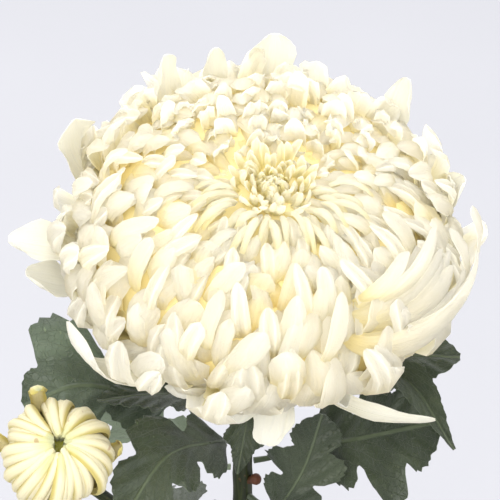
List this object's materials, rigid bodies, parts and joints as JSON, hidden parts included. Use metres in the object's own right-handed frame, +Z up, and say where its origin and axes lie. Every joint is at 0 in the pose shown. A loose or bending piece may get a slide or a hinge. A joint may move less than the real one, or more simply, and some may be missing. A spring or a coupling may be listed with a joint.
{
  "type": "chrysanthemum in vase",
  "caption": "Cut stem with a large incurved cream-white chrysanthemum bloom, a half-open side bud and lobed leaves, standing in water in a plain clear glass bottle vase.",
  "frame": {"origin": "centre of the vase's foot, on the surface it stands on", "axes": "+Z up; the bloom leans and faces towards -Y, with the side bud towards -X"},
  "size_m": [0.1626, 0.1472, 0.4458],
  "materials": {
    "glass": "clear, smooth",
    "water": "clear water",
    "stem": "green ribbed stalk",
    "bloom": "soft cream-white petals",
    "bud": "pale yellow petals",
    "leaf": "dark green, faint gloss"
  },
  "bodies": {
    "root": {"vase": "glass", "water": "water", "main_stem": "stem", "bloom_petals": "bloom", "bud_petals": "bud", "bud_stem": "stem", "leaf_left_high": "leaf", "leaf_left_pale": "leaf", "leaf_left_dark": "leaf", "leaf_front": "leaf", "leaf_front_hanging": "leaf", "leaf_right_high": "leaf", "leaf_right_curled": "leaf", "leaf_right_large": "leaf", "leaf_right_upright": "leaf", "leaf_low_left": "leaf", "leaf_low_right": "leaf", "leaf_low_back": "leaf", "leaf_back_right": "leaf"}
  },
  "joints": []
}
